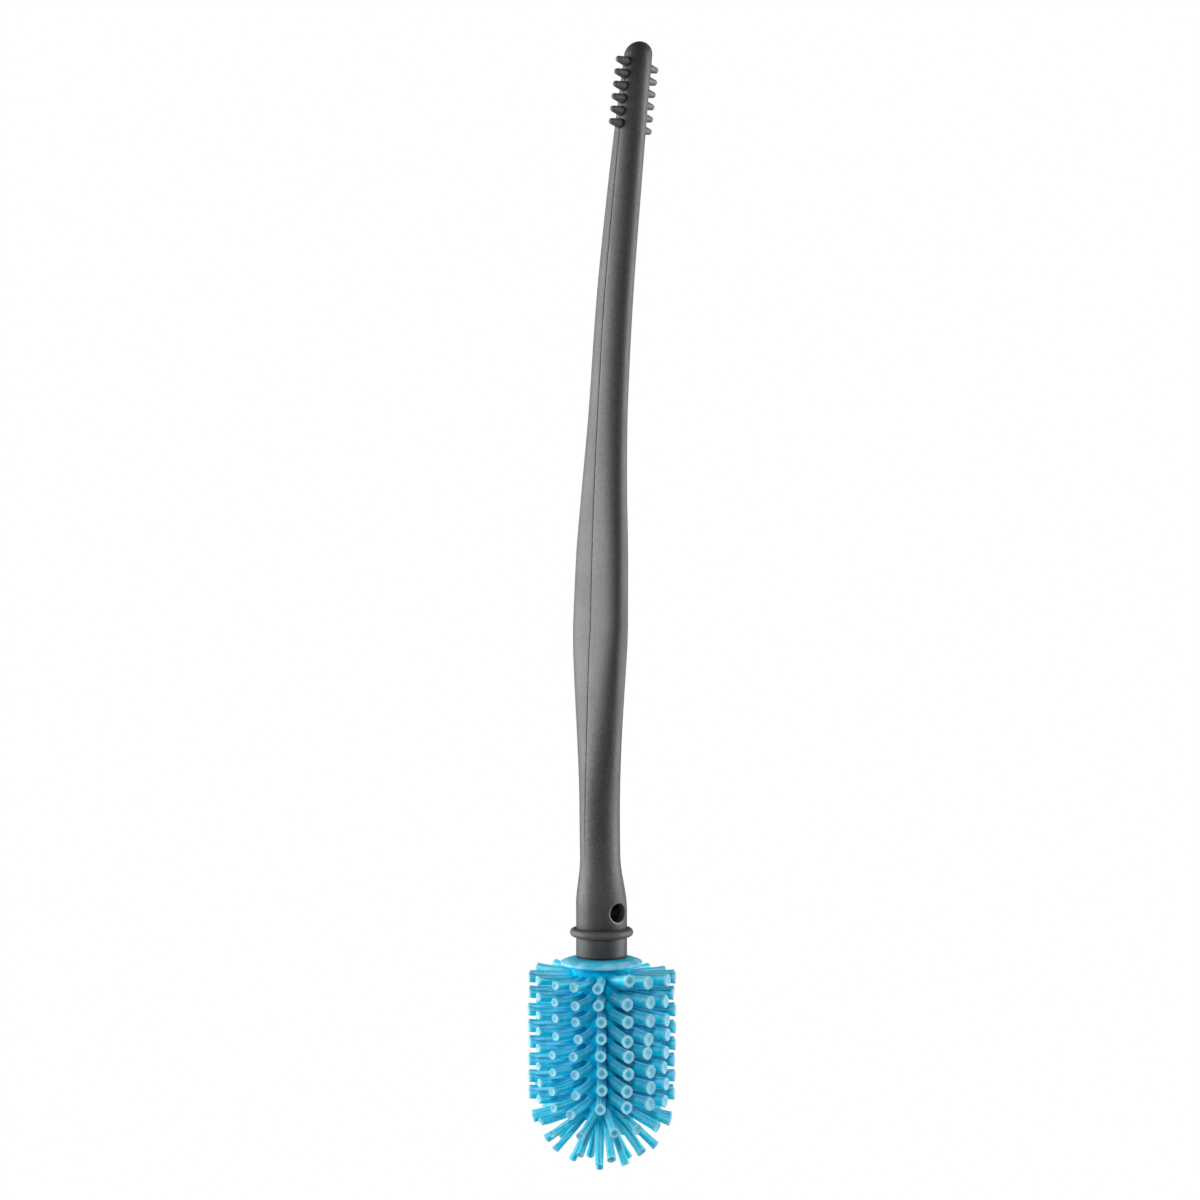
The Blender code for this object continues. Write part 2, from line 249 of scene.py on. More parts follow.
def length_setting(name, description, default):
    return FloatProperty(name=name, description=description, default=default, unit="LENGTH")


def angle_setting(name, description, default):
    """An angle, whose default is given in degrees."""
    return FloatProperty(name=name, description=description, default=radians(default), subtype="ANGLE")


def number_setting(name, description, default, unit="NONE"):
    return FloatProperty(name=name, description=description, default=default, unit=unit)


def count_setting(name, description, default, least=0):
    return IntProperty(name=name, description=description, default=default, min=least)


def colour_setting(name, description, default):
    """A solid colour."""
    return FloatVectorProperty(
        name=name, description=description, default=(*default, 1.0), subtype="COLOR", size=4, min=0.0, max=1.0
    )


class HandleSizes(bpy.types.PropertyGroup):
    """Sizes of the handle's small details."""

    quarter_columns: count_setting("Quarter columns", "Columns of faces round a quarter of the handle", 22, 4)
    body_rings: count_setting("Body rings", "Rings of faces from the bell to the tip", 190, 24)
    tip_rings: count_setting("Tip rings", "Rings of faces over the round tip", 12, 3)
    mould_line_depth: length_setting("Mould line depth", "Depth of the valley along the mould line", 0.0001)
    groove: length_setting("Bead groove", "Depth of the grooves above and below the bead", 0.00018)
    stub_edge: length_setting("Stub edge", "Radius of the rounded edge at the stub's foot", 0.0006)
    hole_diameter: length_setting("Hole diameter", "Diameter of the hanging hole", 0.006)
    hole_chamfer: length_setting("Hole chamfer", "Width of the chamfer round each mouth of the hole", 0.00035)
    nub_length: length_setting("Nub length", "Length of a nub from inside the handle to its tip", 0.0068)
    nub_base: length_setting("Nub base", "Diameter of a nub where it starts", 0.0041)
    nub_pitch: length_setting("Nub pitch", "Height from one nub to the next", 0.0041)
    nub_top_drop: length_setting("Top nub drop", "How far the top nub stands below the handle's tip", 0.0077)
    nub_tilt: angle_setting("Nub tilt", "How far a nub leans from level", 3.5)
    nubs_a_side: count_setting("Nubs a side", "Nubs in each of the two rows", 6, 1)


class HeadSizes(bpy.types.PropertyGroup):
    """Sizes of the soft head's fingers and flange."""

    trunk_sides: count_setting("Trunk sides", "Columns of faces round the trunk and the flange", 96, 12)
    finger_sides: count_setting("Finger sides", "Faces round a finger", 10, 5)
    finger_tip: length_setting("Finger end", "Diameter of a finger's flared end", 0.00277)
    finger_dish: length_setting("End dish", "Depth of the dish in a finger's end", 0.00045)
    finger_flash: length_setting("Finger flash", "Height of the flash on a finger in the parting", 0.00022)
    finger_wander: length_setting("Wander", "How far a finger's end strays from its place", 0.00035)
    flange_diameter: length_setting("Flange diameter", "Diameter of the flange", 0.0262)
    flange_thickness: length_setting("Flange thickness", "Thickness of the flange at its rim", 0.0012)
    flange_dip: length_setting("Flange dip", "How far the flange's rim lies below its middle", 0.0012)
    seed: count_setting("Seed", "Seed of the fingers' small bends", 7)


class Finishes(bpy.types.PropertyGroup):
    """Colours of the two materials."""

    plastic: colour_setting("Plastic", "Matte plastic of the handle", (0.058, 0.057, 0.056))
    silicone: colour_setting("Silicone", "Middle of a finger", (0.001, 0.54, 0.72))
    # Root colour: partly painted shade among the roots. End colour: partly painted light through the rims
    silicone_deep: colour_setting("Silicone root", "Trunk and finger roots", (0.0, 0.42, 0.68))
    silicone_pale: colour_setting("Silicone end", "Thin rim of a finger's end", (0.38, 0.65, 0.80))


class StudioSettings(bpy.types.PropertyGroup):
    """Camera and lamps."""

    camera_azimuth: angle_setting("Camera azimuth", "Where the camera stands round the brush", -42.5)
    camera_distance: length_setting("Camera distance", "From the camera to the brush", 0.688)
    camera_height: length_setting("Camera height", "Height of the camera above the hanging hole", 0.0994)
    camera_lens: number_setting("Lens", "Focal length in millimetres", 64.5, "CAMERA")
    aim_offset: length_setting("Aim offset", "How far the brush stands right of the camera's aim", 0.0005)
    left_power: number_setting("Left lamp", "Power of the left lamp in watts", 20.0, "POWER")
    right_power: number_setting("Right lamp", "Power of the right lamp in watts", 13.0, "POWER")
    head_power: number_setting("Head lamp", "Power of the lamp over the head in watts", 12.4, "POWER")
    ambient: number_setting("Ambient", "Level of the light from all round", 0.34)


# Meshes


def linked_object(name, data):
    """A new object in the scene."""
    made = bpy.data.objects.new(name, data)
    bpy.context.scene.collection.objects.link(made)
    return made


def mesh_piece(name, bm):
    """A new object that holds this bmesh, with its faces turned outwards."""
    bmesh.ops.remove_doubles(bm, verts=bm.verts, dist=1e-7)
    bmesh.ops.recalc_face_normals(bm, faces=bm.faces)
    mesh = bpy.data.meshes.new(name)
    bm.to_mesh(mesh)
    bm.free()
    return linked_object(name, mesh)


def settle(piece):
    """Turns a piece's modifiers into its own mesh."""
    graph = bpy.context.evaluated_depsgraph_get()
    mesh = bpy.data.meshes.new_from_object(piece.evaluated_get(graph), depsgraph=graph)
    piece.modifiers.clear()
    before, piece.data = piece.data, mesh
    bpy.data.meshes.remove(before)
    mesh.name = piece.name


def smooth(piece, sharp):
    """Smooth shading, but for edges sharper than this many degrees."""
    piece.data.shade_smooth()
    piece.data.set_sharp_from_angle(angle=radians(sharp))


def bridge(bm, loops):
    """Bands of faces from each loop of points to the next."""
    for upper, lower in zip(loops, loops[1:]):
        for i in range(len(upper)):
            j = (i + 1) % len(upper)
            bm.faces.new((upper[i], lower[i], lower[j], upper[j]))


def close_loop(bm, loop, tip):
    """A fan of faces from a loop of points to one tip."""
    top = bm.verts.new(tip)
    for i in range(len(loop)):
        bm.faces.new((loop[i], loop[(i + 1) % len(loop)], top))


def circle(radius, sides):
    """Points round a circle about the origin."""
    angles = [2 * pi * i / sides for i in range(sides)]
    return [(radius * cos(a), radius * sin(a)) for a in angles]


def arc(centre_radius, centre_height, radius, start, end, steps):
    """Points round a circle in a turned outline, in degrees from level, from start to end."""
    angles = [radians(start + (end - start) * i / steps) for i in range(steps + 1)]
    return [(centre_radius + radius * cos(a), centre_height + radius * sin(a)) for a in angles]


def eased(value, low, high):
    """How far a value is on its way from low to high, from 0 to 1, with a soft start and end."""
    t = min(max((value - low) / (high - low), 0.0), 1.0)
    return t * t * (3 - 2 * t)


def follow(shares, share, column):
    """A smooth curve through the given column of a table of shares, read at a share of its first column."""
    last = len(shares) - 1
    i = 0
    while i < last - 1 and share > shares[i + 1][0]:
        i += 1
    x0, x1 = shares[i][0], shares[i + 1][0]
    y0, y1 = shares[i][column], shares[i + 1][column]
    before, after = max(i - 1, 0), min(i + 2, last)
    slope0 = (y1 - shares[before][column]) / (x1 - shares[before][0])
    slope1 = (shares[after][column] - y0) / (shares[after][0] - x0)
    step = x1 - x0
    t = (share - x0) / step
    return (
        (2 * t**3 - 3 * t**2 + 1) * y0
        + (t**3 - 2 * t**2 + t) * step * slope0
        + (3 * t**2 - 2 * t**3) * y1
        + (t**3 - t**2) * step * slope1
    )


# Handle


def sweep_at(height):
    """How far the handle's middle stands towards +X at this height."""
    return HANDLE_SWEEP * follow(SWEEP_SHARES, height / HANDLE_TOP, 1) if height > 0 else 0.0


def section_at(height):
    """Half the thickness (X), half the width (Y) and the power of the handle's oval section at this height.

    A power of 2 is an ellipse. The wider the section, the higher its power and the squarer its corners.
    """
    if height < NECK_HEIGHT:
        opened = 1 - eased(height, BELL_STRAIGHT, BELL_STRAIGHT + BELL_FLARE)
        radius = (NECK_DIAMETER + (BELL_DIAMETER - NECK_DIAMETER) * opened) / 2
        return radius, radius, 2
    if height < GRIP_HEIGHT:
        share = (height - NECK_HEIGHT) / (GRIP_HEIGHT - NECK_HEIGHT)
        start = NECK_DIAMETER
        thickened, widened = (follow(NECK_TO_GRIP_SHARES, share, column) for column in (1, 2))
    else:
        share = min((height - GRIP_HEIGHT) / (HANDLE_TOP - TIP_DIAMETER / 2 - GRIP_HEIGHT), 1.0)
        start = TIP_DIAMETER
        thickened, widened = (1 - follow(GRIP_TO_TIP_SHARES, share, column) for column in (1, 2))
    thickness = start + (GRIP_THICKNESS - start) * thickened
    width = start + (GRIP_WIDTH - start) * widened
    return thickness / 2, width / 2, 2 + GRIP_SQUARENESS_SHARE * widened**2


def body_rings(sizes):
    """Height and section of each ring from the tip down to the bell."""
    tip = TIP_DIAMETER / 2
    start = HANDLE_TOP - tip
    rings = []
    for i in range(1, sizes.tip_rings):
        angle = pi / 2 * (1 - i / sizes.tip_rings)
        rings.append((start + tip * sin(angle), (tip * cos(angle), tip * cos(angle), 2)))
    for i in range(sizes.body_rings, -1, -1):
        height = start * i / sizes.body_rings
        rings.append((height, section_at(height)))
    return rings


def foot_outline(sizes):
    """(radius, height) from the bell down over the bead, the stub and the spigot, and up the bore."""
    bell, spigot, bore = BELL_DIAMETER / 2, SPIGOT_DIAMETER / 2, BORE_DIAMETER / 2
    half = BEAD_THICKNESS / 2
    middle = BEAD_DIAMETER / 2 - half
    meets = degrees(acos((bell - sizes.groove - middle) / half))
    outline = [(bell, -drop) for drop in (*BELL_RING_DROPS, BEAD_DROP - half)]
    outline += arc(middle, -BEAD_DROP, half, meets, -meets, 20)
    outline += [(bell, -drop) for drop in (BEAD_DROP + half, STUB_RING_DROP)]
    outline += arc(bell - sizes.stub_edge, -STUB_DROP + sizes.stub_edge, sizes.stub_edge, 0, -90, 6)
    outline += [(spigot, -drop) for drop in (STUB_DROP, *SPIGOT_RING_DROPS)]
    outline += arc(0, SEAT_Z - DOME_DROP, spigot, 0, -degrees(acos(bore / spigot)), 8)
    outline += [(bore, -drop) for drop in BORE_RING_DROPS]
    outline += arc(0, -BORE_DROP, bore, 0, LAST_RING, 8)
    return outline


def line_columns(section, quarter_columns):
    """Angles of a ring's columns round one quarter, crowded together at the mould line."""
    _, half_width, power = section
    near = [
        asin(min(reach / half_width, NARROW_LINE_SHARE * (k + 1)) ** (power / 2))
        for k, reach in enumerate(LINE_REACHES)
    ]
    start = near[-1]
    far = [start + (pi / 2 - start) * k / quarter_columns for k in range(1, quarter_columns + 1)]
    return [0.0] + near + far


def ring_points(height, section, lean, sizes):
    """Points of one ring of the handle. The mould line is a fine valley where Y is nought."""
    half_x, half_y, power = section
    quarter = line_columns(section, sizes.quarter_columns)
    half_turn = quarter + [pi - a for a in reversed(quarter[:-1])]
    angles = half_turn[:-1] + [a + pi for a in half_turn[:-1]]
    shown = eased(height, *VALLEY_COMES) * (1 - eased(height, *VALLEY_GOES))
    points = []
    for angle in angles:
        x = half_x * copysign(abs(cos(angle)) ** (2 / power), cos(angle))
        y = half_y * copysign(abs(sin(angle)) ** (2 / power), sin(angle))
        valley = sizes.mould_line_depth * shown * max(0.0, 1 - abs(y) / LINE_REACHES[-1]) ** 2
        x -= valley if x > 0 else -valley
        points.append((lean + x, y, height))
    return points


def handle_shell(sizes):
    """The whole moulding but its nubs and its cross hole, as one closed skin."""
    rings = [(height, section, sweep_at(height)) for height, section in body_rings(sizes)]
    rings += [(height, (radius, radius, 2), 0.0) for radius, height in foot_outline(sizes)]
    bm = bmesh.new()
    loops = [[bm.verts.new(p) for p in ring_points(*ring, sizes)] for ring in rings]
    bridge(bm, loops)
    close_loop(bm, loops[0], (sweep_at(HANDLE_TOP), 0, HANDLE_TOP))
    close_loop(bm, loops[-1], (0, 0, -BORE_DROP + BORE_DIAMETER / 2))
    return mesh_piece("moulded_handle", bm)


def hole_cutter(sizes):
    """A bar along Y that opens to a chamfer where it leaves the bell's round wall."""
    hole, chamfer, bell = sizes.hole_diameter / 2, sizes.hole_chamfer, BELL_DIAMETER / 2
    mouth = hole + 2 * chamfer
    bm = bmesh.new()
    loops = []
    sections = ((-1, mouth, chamfer), (-1, hole, -chamfer), (1, hole, -chamfer), (1, mouth, chamfer))
    for side, radius, out in sections:
        points = circle(radius, HOLE_SIDES)
        loops.append([bm.verts.new((x, side * (sqrt(bell**2 - x**2) + out), z)) for x, z in points])
    bridge(bm, loops)
    close_loop(bm, loops[0], (0, -bell - CUTTER_SPARE, 0))
    close_loop(bm, loops[-1], (0, bell + CUTTER_SPARE, 0))
    return mesh_piece("hole_cutter", bm)


# Trees of nodes


def add(tree, kind, inputs=None, **settings):
    """A new node with these settings. Each of the inputs is linked to a socket or set to a value."""
    made = tree.nodes.new(kind)
    for name, value in settings.items():
        setattr(made, name, value)
    join(tree, made, inputs or {})
    return made


def join(tree, node, inputs):
    """Links inputs of a node to sockets, or sets them to values."""
    for name, value in inputs.items():
        if isinstance(value, bpy.types.NodeSocket):
            tree.links.new(value, node.inputs[name])
        else:
            node.inputs[name].default_value = value


def math(tree, operation, *values):
    return add(tree, "ShaderNodeMath", dict(enumerate(values)), operation=operation).outputs[0]


def product(tree, first, *others):
    """All the values multiplied together."""
    for other in others:
        first = math(tree, "MULTIPLY", first, other)
    return first


def off_axis(tree, across, along):
    """Distance from an axis, from the two places across it."""
    return math(tree, "SQRT", math(tree, "ADD", product(tree, across, across), product(tree, along, along)))


def axes(tree, place):
    """The three parts of a place."""
    return add(tree, "ShaderNodeSeparateXYZ", {0: place}).outputs[:3]


def upwards(tree, height):
    """A vector of this height."""
    return add(tree, "ShaderNodeCombineXYZ", {2: height}).outputs[0]


def summed(tree, first, second):
    """The sum of two vectors."""
    return add(tree, "ShaderNodeVectorMath", {0: first, 1: second}, operation="ADD").outputs[0]


def scaled(tree, vector, share):
    """A vector made longer or shorter."""
    return add(tree, "ShaderNodeVectorMath", {0: vector, "Scale": share}, operation="SCALE").outputs[0]


def recalled(tree, name, kind="FLOAT"):
    """An attribute of the mesh."""
    return add(tree, "GeometryNodeInputNamedAttribute", {"Name": name}, data_type=kind).outputs[0]


def noted(tree, mesh, name, value, kind="FLOAT", domain="POINT", selection=True):
    """The mesh with a value kept on it as an attribute."""
    inputs = {0: mesh, "Selection": selection, "Name": name, "Value": value}
    return add(tree, "GeometryNodeStoreNamedAttribute", inputs, data_type=kind, domain=domain).outputs[0]


def compared(tree, first, second, operation):
    return add(
        tree, "FunctionNodeCompare", {0: first, 1: second}, data_type="FLOAT", operation=operation
    ).outputs[0]


def new_tree(name, **inputs):
    """A geometry tree with these inputs after its geometry. Gives the tree and its two end nodes."""
    tree = bpy.data.node_groups.new(name, "GeometryNodeTree")
    for label, kind in {"Geometry": "Geometry", **inputs}.items():
        tree.interface.new_socket(label, in_out="INPUT", socket_type="NodeSocket" + kind)
    tree.interface.new_socket("Geometry", in_out="OUTPUT", socket_type="NodeSocketGeometry")
    return tree, add(tree, "NodeGroupInput"), add(tree, "NodeGroupOutput")


def grow(piece, tree, values):
    """Grows the tree on a piece, with its inputs set by their identifiers, into the piece's own mesh."""
    modifier = piece.modifiers.new(tree.name, "NODES")
    modifier.node_group = tree
    for item in tree.interface.items_tree:
        if item.in_out == "INPUT" and item.name in values:
            modifier[item.identifier] = values[item.name]
    piece.update_tag()
    bpy.context.view_layer.update()
    settle(piece)


def swept_stem(tree, ends, stations):
    """A straight stem up Z, whose radius follows a curve of stations, with its share of length kept on it."""
    length = ends.outputs["Length"]
    line = add(tree, "GeometryNodeCurvePrimitiveLine", {"End": upwards(tree, length)})
    curve = add(tree, "GeometryNodeResampleCurve", {0: line.outputs[0], "Count": len(stations)})
    index = add(tree, "GeometryNodeInputIndex").outputs[0]
    share, radius = (station_value(tree, index, column) for column in zip(*stations))
    place = upwards(tree, product(tree, share, length))
    placed = add(tree, "GeometryNodeSetPosition", {0: curve.outputs[0], "Position": place})
    round_form = {"Radius": 1.0, "Resolution": ends.outputs["Sides"]}
    profile = add(tree, "GeometryNodeCurvePrimitiveCircle", round_form)
    sweep = {
        0: noted(tree, placed.outputs[0], "along", share),
        "Profile Curve": profile.outputs[0],
        "Scale": product(tree, radius, math(tree, "DIVIDE", ends.outputs["Diameter"], 2.0)),
        "Fill Caps": True,
    }
    return add(tree, "GeometryNodeCurveToMesh", sweep).outputs[0]


def station_value(tree, index, values):
    """One of a list of numbers, chosen by index."""
    switch = add(tree, "GeometryNodeIndexSwitch", {"Index": index}, data_type="FLOAT")
    while len(switch.index_switch_items) < len(values):
        switch.index_switch_items.new()
    for i, value in enumerate(values):
        switch.inputs[i + 1].default_value = value
    return switch.outputs[0]


def inset_end(tree, mesh, selection, share):
    """The mesh with the selected end face drawn in to a share of its size, and that face."""
    drawn = {0: mesh, "Selection": selection, "Offset Scale": 0.0}
    mesh, top, _ = add(tree, "GeometryNodeExtrudeMesh", drawn, mode="FACES").outputs
    shrunk = {0: mesh, "Selection": top, "Scale": share}
    return add(tree, "GeometryNodeScaleElements", shrunk, domain="FACE").outputs[0], top


def upward_face(tree):
    """Selects faces that look straight up the stem."""
    normal = add(tree, "GeometryNodeInputNormal").outputs[0]
    return compared(tree, axes(tree, normal)[2], 0.9, "GREATER_THAN")


def marked_upward(tree, stem):
    """The stem with its roundness marked: 1 along its upper line, -1 along its lower line, 0 between."""
    x, y, _ = axes(tree, add(tree, "GeometryNodeInputPosition").outputs[0])
    return noted(tree, stem, "upward", math(tree, "DIVIDE", x, off_axis(tree, x, y)))


def planted(tree, ends, stem):
    """Copies of a stem on every point, turned to the point's direction, as one mesh."""
    toward = {"Vector": recalled(tree, "direction", "FLOAT_VECTOR")}
    aimed = add(tree, "FunctionNodeAlignRotationToVector", toward, axis="Z")
    up = {"Rotation": aimed.outputs[0], "Vector": (0, 0, 1)}
    upright = add(tree, "FunctionNodeAlignRotationToVector", up, axis="X", pivot_axis="Z")
    stand = {
        0: ends.outputs["Geometry"], "Instance": stem, "Rotation": upright.outputs[0],
        "Scale": recalled(tree, "girth", "FLOAT_VECTOR"),
    }
    plants = add(tree, "GeometryNodeInstanceOnPoints", stand).outputs[0]
    spread = {0: (-1, -1, -1), 1: (1, 1, 1), "Seed": ends.outputs["Seed"]}
    stray = add(tree, "FunctionNodeRandomValue", spread, data_type="FLOAT_VECTOR").outputs[0]
    plants = noted(tree, plants, "wander", stray, "FLOAT_VECTOR", "INSTANCE")
    return add(tree, "GeometryNodeRealizeInstances", {0: plants}).outputs[0]


def finished(tree, mesh, ends, out):
    """Smooth faces but for sharp edges, and the material."""
    angle = add(tree, "GeometryNodeInputMeshEdgeAngle").outputs[0]
    soft = compared(tree, angle, radians(STEM_SHARP), "LESS_THAN")
    for domain, rounded in (("FACE", True), ("EDGE", soft)):
        inputs = {0: mesh, "Shade Smooth": rounded}
        mesh = add(tree, "GeometryNodeSetShadeSmooth", inputs, domain=domain).outputs[0]
    painted = add(tree, "GeometryNodeSetMaterial", {0: mesh, "Material": ends.outputs["Material"]})
    join(tree, out, {0: painted.outputs[0]})


def finger_tree():
    """Soft fingers with flared, dished ends, each with a small bend of its own."""
    tree, ends, out = new_tree(
        "silicone_fingers", Length="Float", Diameter="Float", Dish="Float", Flash="Float", Sides="Int",
        Wander="Float", Seed="Int", Material="Material",
    )
    stem = swept_stem(tree, ends, FINGER_STATIONS)
    rimmed, top = inset_end(tree, stem, upward_face(tree), RIM_SHARE)
    opened, floor = inset_end(tree, rimmed, top, DISH_FLOOR_SHARE)
    sunk = {0: opened, "Selection": floor, "Offset": upwards(tree, product(tree, ends.outputs["Dish"], -1.0))}
    dished = add(tree, "GeometryNodeSetPosition", sunk).outputs[0]
    marked = noted(tree, dished, "dish", 1.0, selection=floor)
    field = planted(tree, ends, marked_upward(tree, marked))
    along = recalled(tree, "along")
    stray = scaled(tree, recalled(tree, "wander", "FLOAT_VECTOR"), ends.outputs["Wander"])
    bend = summed(tree, stray, recalled(tree, "bend", "FLOAT_VECTOR"))
    bend = scaled(tree, bend, math(tree, "POWER", along, BEND_POWER))
    crest = math(tree, "POWER", recalled(tree, "upward"), FLASH_POWER)
    flash = product(tree, crest, recalled(tree, "parting"), ends.outputs["Flash"])
    # 1 half way along, and 0 at both ends
    hump = product(tree, 4.0, along, math(tree, "SUBTRACT", 1.0, along))
    lift = math(tree, "SUBTRACT", flash, product(tree, recalled(tree, "sag"), hump))
    offset = summed(tree, bend, upwards(tree, lift))
    bent = add(tree, "GeometryNodeSetPosition", {0: field, "Offset": offset})
    finished(tree, bent.outputs[0], ends, out)
    return tree


def nub_tree():
    """Round-ended cleaning nubs."""
    tree, ends, out = new_tree(
        "cleaning_nubs", Length="Float", Diameter="Float", Sides="Int", Seed="Int", Material="Material"
    )
    finished(tree, planted(tree, ends, swept_stem(tree, ends, NUB_STATIONS)), ends, out)
    return tree


class Plant(NamedTuple):
    """Where a stem stands, which way it points, how its end bends, how stout it is across, how near it is to
    the mould's parting, and how far it sags."""

    place: Vector
    direction: Vector
    bend: Vector = Vector()
    girth: Vector = Vector((1, 1, 1))
    parting: float = 0.0
    sag: float = 0.0


def seedling(name, plants):
    """A piece of bare points, one for each plant, with the plant's other values as attributes."""
    mesh = bpy.data.meshes.new(name)
    mesh.from_pydata([plant.place for plant in plants], [], [])
    for label, values in zip(Plant._fields[1:], list(zip(*plants))[1:]):
        kind, field = ("FLOAT", "value") if isinstance(values[0], float) else ("FLOAT_VECTOR", "vector")
        attribute = mesh.attributes.new(label, kind, "POINT")
        for item, value in zip(attribute.data, values):
            setattr(item, field, value)
    return linked_object(name, mesh)


# Head


def core_outline(sizes):
    """Outside of the sock, from its mouth over the flange and down the trunk to the dome."""
    edge = sizes.flange_thickness / 2
    rim = SEAT_Z - sizes.flange_dip - edge
    under = rim - edge
    centre = SEAT_Z - DOME_DROP
    outline = [
        (INNER_RADIUS, SEAT_Z - MOUTH_EDGE_DROP), (INNER_RADIUS + MOUTH_EDGE_WIDTH, SEAT_Z),
        (BELL_DIAMETER / 2, SEAT_Z),
    ]
    outline += [(radius, SEAT_Z - drop) for radius, drop in FLANGE_SLOPE]
    outline += arc(sizes.flange_diameter / 2 - edge, rim, edge, 75, -90, 8)
    outline += arc(TRUNK_RADIUS + FLANGE_FILLET, under - FLANGE_FILLET, FLANGE_FILLET, 90, 180, 4)
    steps = 16
    top = under - 2 * FLANGE_FILLET
    outline += [(TRUNK_RADIUS, top + (centre - top) * i / steps) for i in range(1, steps)]
    outline += arc(0, centre, TRUNK_RADIUS, 0, -LAST_RING, 12)
    return outline


def head_core(sizes):
    """The sock with its flange, closed outside and inside."""
    outside = core_outline(sizes)
    mouth = outside[0]
    centre = SEAT_Z - DOME_DROP
    steps = 14
    inside = [(INNER_RADIUS, mouth[1] + (centre - SEAT_Z) * i / steps) for i in range(steps)]
    inside += arc(0, centre, INNER_RADIUS, 0, -LAST_RING, 10)
    bm = bmesh.new()
    for outline, radius in ((outside, TRUNK_RADIUS), (inside, INNER_RADIUS)):
        loops = turned_loops(bm, outline, sizes.trunk_sides)
        close_loop(bm, loops[-1], (0, 0, centre - radius))
    return mesh_piece("head_core", bm)


def turned_loops(bm, outline, sides):
    """Faces of an outline of (radius, height) turned about Z. Gives the loops between them."""
    loops = [[bm.verts.new((x, y, height)) for x, y in circle(radius, sides)] for radius, height in outline]
    bridge(bm, loops)
    return loops


def finger_plants():
    """Every finger, row by row and then over the dome."""
    rings = [(COLUMNS, 0.0, COLUMN_PHASE, FIRST_ROW_DROP + row * ROW_PITCH) for row in range(ROWS)]
    rings += [(*ring, DOME_DROP) for ring in DOME_RINGS]
    plants = []
    for number, (count, below, first, drop) in enumerate(rings, 1):
        in_rows = number <= ROWS
        level, fall = cos(radians(below)), sin(radians(below))
        for finger in range(1, count + 1):
            angle = radians(first + 360 * (finger - 1) / count)
            direction = Vector((level * cos(angle), level * sin(angle), -fall))
            alike = (0, SIDE_BENDS.get(finger, 0) if in_rows else 0)
            side, down = (BEND_STEP * steps for steps in FINGER_BENDS[number].get(finger, alike))
            parting = level * cos(angle - radians(PARTING_ANGLE)) ** 2
            girth = (1 + PARTING_GIRTH_SHARE * parting) * (1 if in_rows else DOME_GIRTH_SHARE)
            plants.append(
                Plant(
                    place=direction * FINGER_ROOT + Vector((0, 0, SEAT_Z - drop)),
                    direction=direction,
                    bend=Vector((-sin(angle) * side, cos(angle) * side, -down)),
                    girth=Vector((girth, girth, 1)),
                    parting=parting,
                    sag=SAG * level * eased(cos(angle - radians(SAG_ANGLE)), *SAG_COSINES),
                )
            )
    return plants


# The ends' bends are given in steps of this length
BEND_STEP = 0.0001
# Steps down that the ends are bent in the columns at the head's two sides, by the finger's number in its row
SIDE_BENDS = {7: 6, 8: -5, 16: -3, 17: 3}
# Steps to the side and down that single ends are bent, by ring and by the finger's number in it
FINGER_BENDS = {
    1: {9: (12, -7), 10: (10, -4), 11: (-5, -3), 12: (-13, 0), 13: (7, -24), 14: (-11, -14), 15: (4, -8)},
    2: {9: (12, -6), 10: (5, -4), 12: (-11, -4), 15: (-6, 3)},
    3: {9: (14, -7), 10: (9, -7), 15: (8, 14)},
    4: {9: (8, -4), 10: (10, -5), 11: (7, -4), 12: (-1, -5), 13: (1, 8), 14: (-6, 7), 15: (8, 5)},
    5: {9: (14, -4), 10: (0, 5), 11: (-5, 4), 14: (-6, -1), 15: (-3, 8)},
    6: {9: (12, -2), 10: (0, 5), 11: (-5, 5), 12: (1, -6), 13: (0, 6), 15: (-6, 1)},
    7: {9: (12, -2), 10: (0, 15), 11: (3, 14), 13: (-3, 5), 15: (-6, 2)},
    8: {9: (14, -5), 10: (0, 13), 11: (-16, 28), 12: (-4, 5), 13: (-2, 5), 15: (-6, 1)},
    9: {
        1: (0, -9), 2: (-12, -10), 3: (-19, -9), 4: (-10, -5), 13: (0, -14), 14: (-11, -14), 15: (-34, 10),
        16: (-19, 6),
    },
    10: {1: (-6, 0), 2: (-7, -6), 8: (0, -16), 9: (11, -10), 10: (0, -5)},
    11: {1: (0, -5), 2: (-23, -10), 4: (0, -13), 5: (14, -17)},
    12: {1: (12, 0)},
}


# Materials


def surface(name, colour, values):
    """A new material with these uniform values set on its shader."""
    made = bpy.data.materials.new(name)
    made.use_nodes = True
    made.diffuse_color = colour
    shader = made.node_tree.nodes["Principled BSDF"]
    join(made.node_tree, shader, {"Base Color": colour, **values})
    return made, made.node_tree, shader


def object_place(tree):
    """The place on the piece, and its three parts."""
    place = add(tree, "ShaderNodeTexCoord").outputs["Object"]
    return place, axes(tree, place)


def marking(tree, name):
    """An attribute of the piece."""
    return add(tree, "ShaderNodeAttribute", attribute_name=name).outputs["Fac"]


def noise(tree, place, scale, detail, roughness=0.5):
    inputs = {"Vector": place, "Scale": scale, "Detail": detail, "Roughness": roughness}
    return add(tree, "ShaderNodeTexNoise", inputs).outputs[0]


def between(tree, value, low, high, to_low, to_high):
    """A value's place from low to high, as a number from to_low to to_high, with a soft start and end."""
    inputs = {"Value": value, "From Min": low, "From Max": high, "To Min": to_low, "To Max": to_high}
    return add(tree, "ShaderNodeMapRange", inputs, interpolation_type="SMOOTHSTEP").outputs[0]


def banded(tree, value, comes, goes):
    """1 in a band of a value, which comes and goes over these two stretches, and 0 elsewhere."""
    return product(tree, between(tree, value, *comes, 0, 1), between(tree, value, *goes, 1, 0))


def left_over(tree, share):
    """What is left of 1."""
    return math(tree, "SUBTRACT", 1.0, share)


